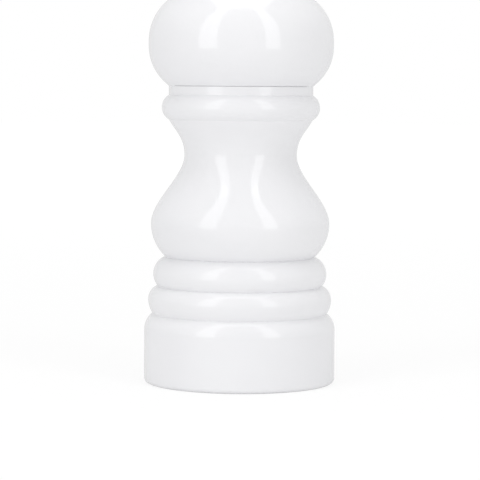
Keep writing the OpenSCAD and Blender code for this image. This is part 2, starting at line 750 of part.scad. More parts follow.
module drive_plate() {
    color("silver") difference() {
        bore(plate_d, spigot_z, spigot_z + plate_t);
        square_bar(square_hole_w, spigot_z - sweep_overlap, spigot_z + plate_t + sweep_overlap);
        round_axis(plate_screws, plate_screw_circle_d / 2) {
            countersunk(seated);
            bore(plate_screw_d + 2 * seated, spigot_z - sweep_overlap, spigot_z + plate_t + sweep_overlap);
        }
    }
}

module drive_plate_screws() {
    color("goldenrod") round_axis(plate_screws, plate_screw_circle_d / 2) difference() {
        union() {
            countersunk(0);
            wood_screw(plate_screw_d, plate_screw_len, spigot_z + 2 * joint_lap);
        }
        translate([-slot_w / 2, -plate_screw_d, spigot_z - sweep_overlap])
            cube([slot_w, 2 * plate_screw_d, sweep_overlap + slot_depth / 2]);
    }
}

module knob_washer() {
    color("white") tube(knob_washer_d, thread_d + 6 * seated, ferrule_top_z, knob_z);
}

module knob() {
    ball_r = knob_ball_d / 2;
    neck_r = knob_neck_d / 2;
    flange_r = knob_flange_d / 2;
    ball_z = knob_z + knob_h - ball_r;
    neck_angle = acos(neck_r / ball_r);
    color("gainsboro") difference() {
        turned(concat(
            [[0, knob_z], [flange_r - edge_break, knob_z], [flange_r, knob_z + edge_break],
             [flange_r, knob_z + knob_flange_t - edge_break],
             [flange_r - edge_break, knob_z + knob_flange_t],
             [neck_r, knob_z + knob_flange_t + edge_break]],
            [for (i = [0:2 * arc_steps])
                let (a = -neck_angle + (90 + neck_angle) * i / (2 * arc_steps))
                [ball_r * cos(a), ball_z + ball_r * sin(a)]]));
        bore(insert_d + 2 * seated, knob_z - sweep_overlap, knob_z + insert_len);
    }
}

module knob_insert() {
    color("goldenrod") tube(insert_d, thread_d + 2 * running, knob_z, knob_z + insert_len);
}

body_shell();
neck_bearing();
mechanism_housing();
fixed_burr();
bearing_stirrup();
bottom_bar();
locating_pins();
bottom_bar_screws();
guide_bush();
burr_spring();
shaft();
moving_burr();
burr_washer();
retaining_clip();
head_shell();
head_ferrule();
drive_plate();
drive_plate_screws();
knob_washer();
knob();
knob_insert();
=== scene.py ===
"""Looks of a turned pepper mill in white lacquer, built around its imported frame.

Sizes in the dataclasses are millimetres. Meshes are made in metres, each in the frame's own place.
An outline is a closed list of (radius, height) points, which a lathe spins round the upright axis.
"""

import logging
import math
from collections.abc import Callable, Iterable
from dataclasses import dataclass, field
from enum import Enum
from functools import partial
from itertools import accumulate, pairwise
from typing import Any
import bmesh
import bpy
from bpy.types import Material, Node, NodeSocket, NodeTree, Object, World
from mathutils import Matrix, Vector


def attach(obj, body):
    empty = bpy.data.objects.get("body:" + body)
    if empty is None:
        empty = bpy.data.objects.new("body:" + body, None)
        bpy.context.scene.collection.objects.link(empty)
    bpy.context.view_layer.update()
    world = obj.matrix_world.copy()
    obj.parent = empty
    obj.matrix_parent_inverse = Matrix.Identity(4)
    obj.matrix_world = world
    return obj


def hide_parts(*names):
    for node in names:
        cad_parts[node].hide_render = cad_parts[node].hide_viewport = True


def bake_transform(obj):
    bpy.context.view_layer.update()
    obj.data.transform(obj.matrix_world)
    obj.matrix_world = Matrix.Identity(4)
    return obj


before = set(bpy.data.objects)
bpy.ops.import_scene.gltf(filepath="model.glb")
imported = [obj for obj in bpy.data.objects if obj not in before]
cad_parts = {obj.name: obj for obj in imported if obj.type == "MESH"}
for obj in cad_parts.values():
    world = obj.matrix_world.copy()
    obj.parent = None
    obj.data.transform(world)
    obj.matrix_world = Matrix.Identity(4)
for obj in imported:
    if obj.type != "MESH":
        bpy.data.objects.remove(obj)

LOG = logging.getLogger("pepper_mill")
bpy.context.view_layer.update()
MM = 0.001
TURN = 2.0 * math.pi
WELD = 1e-6
NEAR = 0.01
TINY = 1e-9
# A wave texture's waves in its unit of scale.
WAVES = 20.0
BAR_SCREWS = ((-16.8, 0.0), (16.8, 0.0))
SHARP, CORNER, FLAT = math.radians(32.0), math.radians(24.0), math.radians(0.5)
UP = Vector((0.0, 0.0, 1.0))

Point = tuple[float, float]
Triple = tuple[float, float, float]
Colour = tuple[float, float, float, float]
Adder = Callable[..., Node]


# ---------------- what rides where, and how it is marked


class Body(Enum):
    """The frame's bodies."""

    MILL = "mill_body"
    DRIVE = "drive"
    SPINDLE = "spindle"
    HEAD = "head"
    SEAT = "knob_seat"
    BALL = "knob_ball"


class Marks(Enum):
    """Direction of the fine marks that a machine leaves on metal."""

    TURNED = "rings round the axis"
    DRAWN = "lines along the axis"
    PRESSED = "no direction"


# ---------------- outlines


def spaced(start: float, stop: float, steps: int) -> list[float]:
    """Return evenly spaced numbers from start to stop."""
    return [start + (stop - start) * i / steps for i in range(steps + 1)]


def line(a: Point, b: Point, steps: int) -> list[Point]:
    """Return evenly spaced points from a to b."""
    return list(zip(spaced(a[0], b[0], steps), spaced(a[1], b[1], steps)))


def held(share: float) -> float:
    """Hold a share between 0 and 1."""
    return min(1.0, max(0.0, share))


def turned_arc(apex: Point, end: Point, steps: int = 20) -> list[Point]:
    """Walk a circular arc that runs along the axis at its apex.

    Args:
        apex: Where the arc is widest or narrowest.
        end: Where it stops.
        steps: Flats along it.

    Returns:
        The points from the apex to the end.
    """
    dr, dz = end[0] - apex[0], end[1] - apex[1]
    rho = (dr * dr + dz * dz) / (2.0 * dr)
    sweep = math.degrees(math.atan2(-dz / rho, 1.0 - dr / rho))
    return round_arc((apex[0] + rho, apex[1]), -rho, 0.0, sweep, steps)


def ring_side(low: Point, apex: Point, high: Point) -> list[Point]:
    """Return the side of a turned ring, from its lower groove over its widest line to its upper one."""
    return turned_arc(apex, low)[::-1] + turned_arc(apex, high)


def swept_curve(p: Point, q: Point, r: Point, s: Point, steps: int = 44) -> list[Point]:
    """Walk a cubic curve from p to s.

    Args:
        p: Start.
        q: Handle at the start.
        r: Handle at the end.
        s: End.
        steps: Flats along it.

    Returns:
        The points from p to s.
    """
    walk = []
    for t in spaced(0.0, 1.0, steps):
        u = 1.0 - t
        weights = (u * u * u, 3.0 * u * u * t, 3.0 * u * t * t, t * t * t)
        walk.append(tuple(sum(w * c[k] for w, c in zip(weights, (p, q, r, s))) for k in (0, 1)))
    return walk


def round_arc(centre: Point, radius: float, start: float, stop: float, steps: int = 8) -> list[Point]:
    """Walk an arc between two angles in degrees, which count from straight outwards."""
    angles = [math.radians(a) for a in spaced(start, stop, steps)]
    return [(centre[0] + radius * math.cos(a), centre[1] + radius * math.sin(a)) for a in angles]


def crowned(widest: Point, end: Point, fullness: float, steps: int = 50) -> list[Point]:
    """Walk a superellipse from its widest line towards the axis.

    Args:
        widest: Point on the widest line.
        end: Point that it passes through and stops at.
        fullness: Its power, where 2 is an ellipse.
        steps: Flats along it.

    Returns:
        The points from the widest line to the end.
    """
    share, power = end[0] / widest[0], 2.0 / fullness
    half = (end[1] - widest[1]) / (1.0 - share**fullness) ** (1.0 / fullness)
    angles = spaced(0.0, math.acos(share ** (fullness / 2.0)), steps)
    return [(widest[0] * math.cos(a) ** power, widest[1] + half * math.sin(a) ** power) for a in angles]


@dataclass
class Outline:
    """A closed outline. Each point carries the material index of the edge that leaves it."""

    points: list[Point] = field(default_factory=list)
    coats: list[int] = field(default_factory=list)

    def draw(self, *points: Point, coat: int = 0) -> "Outline":
        """Draw on through more points.

        Args:
            points: The points, of which one that repeats the last is left out.
            coat: Material index of the edges that leave them.

        Returns:
            The outline itself.
        """
        for point in points:
            if self.points and math.dist(self.points[-1], point) < WELD / MM:
                self.coats[-1] = coat
            else:
                self.points.append(point)
                self.coats.append(coat)
        return self

    def eased(self, reach: float, steps: int = 3, share: float = 0.45, beside: float = 1.1) -> "Outline":
        """Round each sharp corner, as a maker breaks an edge.

        Args:
            reach: How far from the corner the round starts, less where corners stand close together.
            steps: Flats along each round.
            share: The most of the way to the next corner that a round takes.
            beside: Where a last point keeps the flat beside the round flat when it is shaded, as a
                share of the reach.

        Returns:
            A new outline.
        """
        spots = [complex(*point) for point in self.points]
        sides = [b - a for a, b in zip(spots, spots[1:] + spots[:1])]
        starts = list(accumulate(map(abs, sides), initial=0.0))
        total = starts.pop()
        turns = [b / a for a, b in zip(sides[-1:] + sides, sides)]
        bends = [abs(math.atan2(turn.imag, turn.real)) for turn in turns]
        sharp = [i for i, bend in enumerate(bends) if bend > CORNER and self.points[i][0] > WELD]
        gaps = {i: reach for i in sharp}
        for a, b in zip(sharp, sharp[1:] + sharp[:1]):
            room = share * ((starts[b] - starts[a]) % total or total)
            gaps[a], gaps[b] = min(gaps[a], room), min(gaps[b], room)

        def at(s: float) -> tuple[complex, int]:
            """Return the point at a distance along the outline, and the index of its side."""
            i = max(k for k, start in enumerate(starts) if start <= s % total + TINY)
            return spots[i] + sides[i] * (s % total - starts[i]) / max(abs(sides[i]), TINY), i

        walk: list[tuple[float, complex]] = [
            (s, spot) for s, spot in zip(starts, spots)
            if all(min((s - starts[k]) % total, (starts[k] - s) % total) >= gaps[k] for k in sharp)
        ]
        for i, gap in gaps.items():
            s, b = starts[i], spots[i]
            (a, _), (c, _) = at(s - gap), at(s + gap)
            for t in spaced(0.0, 1.0, steps):
                u = 1.0 - t
                walk.append(((s + (t - u) * gap) % total, u * u * a + 2.0 * u * t * b + t * t * c))
            walk += [(e % total, at(e)[0]) for e in (s - beside * gap, s + beside * gap)]
        walk.sort(key=lambda item: item[0])
        places = [s for s, _ in walk]
        middles = [s + ((e - s) % total) / 2.0 for s, e in zip(places, places[1:] + places[:1])]
        return Outline([(p.real, p.imag) for _, p in walk], [self.coats[at(s)[1]] for s in middles])

    def runs(self, longest: int = 16) -> list[tuple[int, list[Point]]]:
        """Cut the outline in short stretches of one material, which spin faster, without edges on the axis.

        Args:
            longest: The most points in a stretch.

        Returns:
            Each stretch's material index and points.
        """
        found: list[tuple[int, list[Point]]] = []
        for a, b, coat in zip(self.points, self.points[1:] + self.points[:1], self.coats):
            if max(a[0], b[0]) < WELD:
                continue
            if found and found[-1][0] == coat and found[-1][1][-1] == a and len(found[-1][1]) < longest:
                found[-1][1].append(b)
            else:
                found.append((coat, [a, b]))
        return found


def stepped(*levels: float) -> list[Point]:
    """Walk in square steps, by levels that are a radius and a height in turn."""
    return [(b, a) if i % 2 else (a, b) for i, (a, b) in enumerate(pairwise(levels))]


# ---------------- the bench


class Blank:
    """Stock on the bench: a bmesh that operators shape before it becomes a piece.

    Each step gives back the blank itself, so that the steps can follow each other.
    """

    def __init__(self) -> None:
        """Start with nothing."""
        self.bm = bmesh.new()

    def spin(self, outline: Outline, steps: int = 96, at: Point = (0.0, 0.0)) -> "Blank":
        """Turn an outline on the lathe.

        Args:
            outline: The closed outline.
            steps: Flats round the axis.
            at: Where the lathe's axis stands.

        Returns:
            The blank itself.
        """
        centre = Vector((*at, 0.0)) * MM
        for coat, run in outline.runs():
            part = Blank()
            verts = [part.bm.verts.new(centre + Vector((r, 0.0, z)) * MM) for r, z in run]
            edges = [part.bm.edges.new(pair) for pair in pairwise(verts)]
            bmesh.ops.spin(
                part.bm, geom=verts + edges, cent=centre, axis=UP, dvec=(0.0, 0.0, 0.0),
                angle=TURN, steps=steps, use_merge=True,
            )
            for face in part.bm.faces:
                face.material_index = coat
            self.join(part)
        return self.weld()

    def turn(self, *levels: float, reach: float, steps: int = 96) -> "Blank":
        """Turn a plain part, by levels that are a radius and a height in turn, and break its edges."""
        return self.spin(Outline().draw(*stepped(*levels)).eased(reach), steps)

    def coil(
        self, centre: Point, radii: Point, stages: Iterable[Point], sides: int = 12, steps: int = 40
    ) -> "Blank":
        """Wind a round or flattened section into a helix.

        Args:
            centre: Radius and height where the section starts.
            radii: Half width of the section across and along the axis.
            stages: Turns and rise of each stage.
            sides: Sides of the section.
            steps: Flats in one turn.

        Returns:
            The blank itself.
        """
        ring = bmesh.ops.create_circle(self.bm, cap_ends=False, segments=sides, radius=1.0)["verts"]
        for vert in ring:
            x, y = vert.co.x, vert.co.y
            vert.co = Vector((centre[0] + radii[0] * x, 0.0, centre[1] + radii[1] * y)) * MM
        last: list[Any] = [*ring, *{edge for vert in ring for edge in vert.link_edges}]
        for turns, rise in stages:
            count = round(steps * turns)
            last = bmesh.ops.spin(
                self.bm, geom=last, cent=(0.0, 0.0, 0.0), axis=UP, dvec=(0.0, 0.0, rise * MM / count),
                angle=TURN * turns, steps=count,
            )["geom_last"]
        bmesh.ops.holes_fill(self.bm, edges=[edge for edge in self.bm.edges if edge.is_boundary], sides=0)
        return self

    def stamp(self, node: str, edge: float) -> "Blank":
        """Start from a welded copy of a solid, and break its edges.

        Args:
            node: The frame's node that holds it.
            edge: How far the broken edge reaches on each side.

        Returns:
            The blank itself.
        """
        self.bm.from_mesh(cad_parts[node].data)
        self.weld()
        bmesh.ops.dissolve_limit(self.bm, angle_limit=FLAT, verts=self.bm.verts, edges=self.bm.edges)
        sharp = [e for e in self.bm.edges if len(e.link_faces) == 2 and e.calc_face_angle() > SHARP]
        bmesh.ops.bevel(
            self.bm, geom=sharp, offset=edge * MM, offset_type="OFFSET", segments=2, profile=0.5,
            affect="EDGES", clamp_overlap=True, material=-1,
        )
        return self

    def mill(self, rule: Callable[[float, float, float], float]) -> "Blank":
        """Move every vertex in or out.

        Args:
            rule: Gives the new radius for a vertex's radius, angle and height.

        Returns:
            The blank itself.
        """
        for vert in self.bm.verts:
            x, y, z = vert.co / MM
            angle = math.atan2(y, x)
            radius = rule(math.hypot(x, y), angle, z)
            vert.co = Vector((radius * math.cos(angle), radius * math.sin(angle), z)) * MM
        return self

    def join(self, other: "Blank") -> "Blank":
        """Take in another blank's solids as they stand.

        Args:
            other: The other blank, which is used up.

        Returns:
            The blank itself.
        """
        mesh = bpy.data.meshes.new("part")
        other.bm.to_mesh(mesh)
        other.bm.free()
        self.bm.from_mesh(mesh)
        bpy.data.meshes.remove(mesh)
        return self

    def weld(self) -> "Blank":
        """Merge doubles and turn the faces outwards.

        Returns:
            The blank itself.
        """
        bmesh.ops.remove_doubles(self.bm, verts=self.bm.verts, dist=WELD)
        bmesh.ops.recalc_face_normals(self.bm, faces=self.bm.faces)
        return self

    def cut(self, tool: "Blank") -> "Blank":
        """Take another blank's solid out of this one.

        Args:
            tool: The cutter, whose material index its cut faces keep.

        Returns:
            The blank itself.
        """
        stock, cutter = self.show("stock", None, None), tool.show("cutter", None, None)
        change = stock.modifiers.new("cut", "BOOLEAN")
        change.operation, change.solver, change.object = "DIFFERENCE", "MANIFOLD", cutter
        graph = bpy.context.evaluated_depsgraph_get()
        result = bpy.data.meshes.new_from_object(stock.evaluated_get(graph))
        self.bm = bmesh.new()
        self.bm.from_mesh(result)
        for mesh in (result, stock.data, cutter.data):
            bpy.data.meshes.remove(mesh)
        return self

    def drill(
        self, spots: Iterable[Point], radius: float, levels: Point, tip: float = 0.0, coat: int = 0
    ) -> "Blank":
        """Drill the same hole at several spots.

        Args:
            spots: Where it goes in, in plan.
            radius: The drill's radius.
            levels: Where the hole starts and ends.
            tip: How far the drill's point goes beyond.
            coat: Material index of the hole.

        Returns:
            The blank itself.
        """
        (low, high), tool = levels, Blank()
        hole = Outline().draw((0.0, low), (radius, low), (radius, high), (0.0, high + tip), coat=coat)
        for spot in spots:
            tool.spin(hole, steps=24, at=spot)
        return self.cut(tool)

    def show(self, name: str, *coats: Material | None) -> Object:
        """Put the blank in the scene, and let go of its bmesh.

        Args:
            name: The object's name.
            coats: Materials, by index.

        Returns:
            The object.
        """
        mesh = bpy.data.meshes.new(name)
        self.bm.to_mesh(mesh)
        self.bm.free()
        for coat in coats:
            mesh.materials.append(coat)
        made = bpy.data.objects.new(name, mesh)
        bpy.context.collection.objects.link(made)
        return made

    def piece(self, name: str, body: Body | None, node: str, *coats: "Finish") -> Object:
        """Make the blank a finished piece of the mill.

        Args:
            name: The piece's name.
            body: The body that it rides on, or None for a piece that is left without one.
            node: The frame's node that it stands for.
            coats: Finishes, by material index.

        Returns:
            The object.
        """
        made = self.show(name, *(coat.material() for coat in coats))
        made.data.shade_smooth()
        made.data.set_sharp_from_angle(angle=SHARP)
        if body is not None:
            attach(made, body.value)
        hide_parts(node)
        LOG.info("%s: %d faces", name, len(made.data.polygons))
        return made


# ---------------- finishes


def linear(colour: str) -> Colour:
    """Turn an sRGB hex value into a linear colour."""
    parts = [int(colour[i : i + 2], 16) / 255.0 for i in (1, 3, 5)]
    return (*(c / 12.92 if c <= 0.04045 else ((c + 0.055) / 1.055) ** 2.4 for c in parts), 1.0)


def grey(level: float) -> Colour:
    """Return a linear grey."""
    return (level, level, level, 1.0)


def per_metre(size_mm: float) -> float:
    """Return a texture scale at which one feature measures size_mm."""
    return 1.0 / (size_mm * MM)


def add_node(
    tree: NodeTree, kind: str, inputs: dict[str | int, Any] | None = None, **settings: Any
) -> Node:
    """Add a node with its settings, values and links.

    Args:
        tree: The tree that it goes in.
        kind: Its type, without the prefix of all shader nodes.
        inputs: For each input a value, a socket that feeds it, or a node whose first output does.
        settings: The node's own settings.

    Returns:
        The node.
    """
    node = tree.nodes.new("ShaderNode" + kind)
    for key, value in settings.items():
        setattr(node, key, value)
    for key, value in (inputs or {}).items():
        if isinstance(value, (Node, NodeSocket)):
            tree.links.new(value.outputs[0] if isinstance(value, Node) else value, node.inputs[key])
        else:
            node.inputs[key].default_value = value
    return node


def adder(holder: Material | World) -> Adder:
    """Clear out a node tree.

    Args:
        holder: The material or world that has it.

    Returns:
        A function that adds a node to it.
    """
    holder.use_nodes = True
    holder.node_tree.nodes.clear()
    return partial(add_node, holder.node_tree)


@dataclass(frozen=True)
class Finish:
    """A surface, which makes its material the first time that it is asked for."""

    name: str
    slot: str

    def material(self) -> Material:
        """Find or make the finish's material.

        Returns:
            The material.
        """
        found = bpy.data.materials.get(self.name)
        if found:
            return found
        made = bpy.data.materials.new(self.name)
        add = adder(made)
        shader = add("BsdfPrincipled", self.dress(add, add("TexCoord").outputs["Object"]))
        add("OutputMaterial", {"Surface": shader})
        return made

    def dress(self, add: Adder, place: NodeSocket) -> dict[str, Any]:
        """Draw the finish.

        Args:
            add: Adds a node to the material.
            place: Object coordinates.

        Returns:
            The shader's inputs.
        """
        raise NotImplementedError


@dataclass(frozen=True)
class GlossLacquer(Finish):
    """Gloss white lacquer, sprayed in several coats on turned beech and polished.

    A bright, smooth skin, almost a mirror, whose trace of orange peel makes the edges of reflections soft.
    """

    name: str = "gloss_white_lacquer_on_beech"
    slot: str = "white_lacquered_beech"
    coat: str = "#F3F3F5"
    thin_coat: str = "#ECECEF"
    peel_mm: float = 1.6
    peel_depth: float = 0.0015
    cloud_mm: float = 22.0
    roughness: Point = (0.02, 0.05)

    def dress(self, add: Adder, place: NodeSocket) -> dict[str, Any]:
        """Build the lacquer: clouds in its thickness, polish that varies and orange peel.

        Args:
            add: Adds a node to the material.
            place: Object coordinates.

        Returns:
            The shader's inputs.
        """
        low, high = self.roughness
        cloud = add("TexNoise", {"Scale": per_metre(self.cloud_mm), "Detail": 2.0, "Vector": place})
        thin = add("MapRange", {"From Min": 0.4, "From Max": 0.75, "To Max": 0.35, "Value": cloud})
        colour = add("Mix", {0: thin, 6: linear(self.coat), 7: linear(self.thin_coat)}, data_type="RGBA")
        rubbed = add("TexNoise", {"Scale": per_metre(self.cloud_mm / 4.0), "Detail": 4.0, "Vector": place})
        polish = add(
            "MapRange", {"From Min": 0.3, "From Max": 0.7, "To Min": low, "To Max": high, "Value": rubbed}
        )
        peel = add("TexNoise", {"Scale": per_metre(self.peel_mm), "Detail": 1.0, "Vector": place})
        bump = add("Bump", {"Strength": 1.0, "Distance": self.peel_depth * MM, "Height": peel})
        return {"IOR": 1.5, "Base Color": colour.outputs[2], "Roughness": polish, "Normal": bump}


@dataclass(frozen=True)
class BoredBeech(Finish):
    """Raw beech, as the boring bit leaves it: pink-tan wood with short dark flecks along the grain."""

    name: str = "raw_bored_beech"
    slot: str = "white_lacquered_beech"
    early: str = "#DDB992"
    late: str = "#C99F74"
    fleck: str = "#9A6C45"
    heart: Triple = (0.04, 0.015, 0.0)
    ring_mm: float = 2.4
    fleck_mm: float = 0.5
    tool_mm: float = 0.35
    tool_depth: float = 0.02

    def dress(self, add: Adder, place: NodeSocket) -> dict[str, Any]:
        """Build growth rings off the axis, ray flecks four times as long as wide, and tool marks.

        Args:
            add: Adds a node to the material.
            place: Object coordinates.

        Returns:
            The shader's inputs.
        """
        ring, tool = per_metre(self.ring_mm) / WAVES, per_metre(self.tool_mm) / WAVES
        off = add("Mapping", {"Location": self.heart, "Vector": place})
        rings = add(
            "TexWave", {"Scale": ring, "Distortion": 1.5, "Detail": 3.0, "Detail Scale": 2.0, "Vector": off},
            wave_type="RINGS", rings_direction="Z",
        )
        wood = add(
            "Mix", {0: rings.outputs["Fac"], 6: linear(self.early), 7: linear(self.late)}, data_type="RGBA"
        )
        along = add("Mapping", {"Scale": (1.0, 1.0, 0.25), "Vector": place})
        rays = add("TexNoise", {"Scale": per_metre(self.fleck_mm), "Detail": 2.0, "Vector": along})
        flecks = add("MapRange", {"From Min": 0.62, "From Max": 0.72, "To Max": 0.7, "Value": rays})
        colour = add("Mix", {0: flecks, 6: wood.outputs[2], 7: linear(self.fleck)}, data_type="RGBA")
        marks = add(
            "TexWave", {"Scale": tool, "Distortion": 0.6, "Vector": place},
            wave_type="BANDS", bands_direction="Z",
        )
        bump = add(
            "Bump", {"Strength": 0.6, "Distance": self.tool_depth * MM, "Height": marks.outputs["Fac"]}
        )
        return {"IOR": 1.5, "Roughness": 0.62, "Base Color": colour.outputs[2], "Normal": bump}


@dataclass(frozen=True)
class TurnedAcetal(Finish):
    """White acetal off the lathe: a waxy plastic with a fine spiral of feed marks."""

    name: str = "turned_white_acetal"
    slot: str = "white_acetal"
    colour: str = "#EDEDE9"
    shade: str = "#E2E2DC"
    patch_mm: float = 6.0
    feed_mm: float = 0.12
    feed_depth: float = 0.004
    bleed_mm: float = 0.5
    bleed: Triple = (0.9, 0.8, 0.7)

    def dress(self, add: Adder, place: NodeSocket) -> dict[str, Any]:
        """Build the feed marks and a slight yellowing in patches.

        Args:
            add: Adds a node to the material.
            place: Object coordinates.

        Returns:
            The shader's inputs.
        """
        patch = add("TexNoise", {"Scale": per_metre(self.patch_mm), "Detail": 3.0, "Vector": place})
        colour = add("Mix", {0: patch, 6: linear(self.colour), 7: linear(self.shade)}, data_type="RGBA")
        marks = feed_marks(add, place, self.feed_mm)
        bump = add("Bump", {"Strength": 0.5, "Distance": self.feed_depth * MM, "Height": marks})
        return {
            "IOR": 1.48, "Roughness": 0.36, "Subsurface Weight": 0.15, "Subsurface Radius": self.bleed,
            "Subsurface Scale": self.bleed_mm * MM, "Base Color": colour.outputs[2], "Normal": bump,
        }


def feed_marks(add: Adder, place: NodeSocket, pitch_mm: float) -> Node:
    """Draw a lathe's feed marks, which are rings on a flat face and on a cylinder alike.

    Args:
        add: Adds a node to the material.
        place: Object coordinates.
        pitch_mm: Spacing of the marks.

    Returns:
        A node with an uneven wave between 0 and 1.
    """
    flat = add("VectorMath", {0: place, 1: (1.0, 1.0, 0.0)}, operation="MULTIPLY")
    radius = add("VectorMath", {0: flat}, operation="LENGTH").outputs["Value"]
    height = add("SeparateXYZ", {0: place}).outputs["Z"]
    walk = add("Math", {0: radius, 1: height}, operation="ADD")
    return add("TexNoise", {"Scale": per_metre(pitch_mm), "Detail": 3.0, "W": walk}, noise_dimensions="1D")


@dataclass(frozen=True)
class Metal(Finish):
    """A metal with the fine marks of how it was made, and patches of handling or oil."""

    colour: str
    patch: str
    patch_mm: float
    roughness: Point
    marks: Marks
    marks_mm: float
    marks_depth: float

    def dress(self, add: Adder, place: NodeSocket) -> dict[str, Any]:
        """Build the patches in colour and roughness, and the marks as bump.

        Args:
            add: Adds a node to the material.
            place: Object coordinates.

        Returns:
            The shader's inputs.
        """
        low, high = self.roughness
        patch = add("TexNoise", {"Scale": per_metre(self.patch_mm), "Detail": 4.0, "Vector": place})
        amount = add("MapRange", {"From Min": 0.35, "From Max": 0.65, "Value": patch})
        colour = add("Mix", {0: amount, 6: linear(self.colour), 7: linear(self.patch)}, data_type="RGBA")
        if self.marks is Marks.TURNED:
            grain = feed_marks(add, place, self.marks_mm)
        else:
            long = 0.03 if self.marks is Marks.DRAWN else 1.0
            way = add("Mapping", {"Scale": (1.0, 1.0, long), "Vector": place})
            grain = add("TexNoise", {"Scale": per_metre(self.marks_mm), "Detail": 2.0, "Vector": way})
        mixed = add("Math", {0: amount, 1: 0.5, 2: 0.25}, operation="MULTIPLY_ADD")
        worn = add("Math", {0: mixed, 1: grain}, operation="MULTIPLY")
        rough = add(
            "MapRange", {"From Min": 0.1, "From Max": 0.45, "To Min": low, "To Max": high, "Value": worn}
        )
        bump = add("Bump", {"Strength": 0.7, "Distance": self.marks_depth * MM, "Height": grain})
        return {"Metallic": 1.0, "Base Color": colour.outputs[2], "Roughness": rough, "Normal": bump}


LACQUER, BEECH, ACETAL = GlossLacquer(), BoredBeech(), TurnedAcetal()
# Pressed sheet with bright zinc: bluish, with yellow passivation in patches and an orange-skin grain.
ZINC = Metal(
    "zinc_plated_pressed_steel", "zinc_plated_steel", "#B9BDC2", "#BFBBAA", 4.0, (0.28, 0.42),
    Marks.PRESSED, 0.35, 0.006,
)
# Case-hardened teeth under a film of oil: dark grey, with brown where the heat has tinted it.
HARDENED = Metal(
    "case_hardened_oiled_steel", "hardened_steel", "#5E6063", "#524D49", 2.5, (0.3, 0.5),
    Marks.PRESSED, 0.2, 0.008,
)
# Bright drawn bar: silver, with straight lines along its length.
DRAWN = Metal(
    "bright_drawn_steel", "bright_steel", "#CFD0D1", "#BDBDBC", 6.0, (0.18, 0.34),
    Marks.DRAWN, 0.12, 0.004,
)
# Screws and washers off the lathe: silver, with rings round the axis.
BRIGHT = Metal(
    "bright_turned_steel", "bright_steel", "#CACBCC", "#B4B3B1", 2.0, (0.2, 0.36),
    Marks.TURNED, 0.1, 0.003,
)
# Oil-tempered wire: blue-grey, with straw-coloured temper.
TEMPERED = Metal(
    "oil_tempered_spring_steel", "spring_steel", "#8C9097", "#7A7166", 2.0, (0.25, 0.4),
    Marks.PRESSED, 0.15, 0.003,
)
# Brass off the lathe: yellow, warmer where it has been handled.
BRASS = Metal(
    "turned_brass", "turned_brass", "#D9B866", "#C49A4C", 3.0, (0.16, 0.32),
    Marks.TURNED, 0.12, 0.004,
)
# Polished nickel plate: warm white metal, nearly a mirror, with a haze of wiping marks.
NICKEL = Metal(
    "polished_nickel_plate", "polished_nickel", "#D2CDC5", "#C7C2B9", 7.0, (0.05, 0.12),
    Marks.TURNED, 0.08, 0.0006,
)


# ---------------- the mill's sub-assemblies


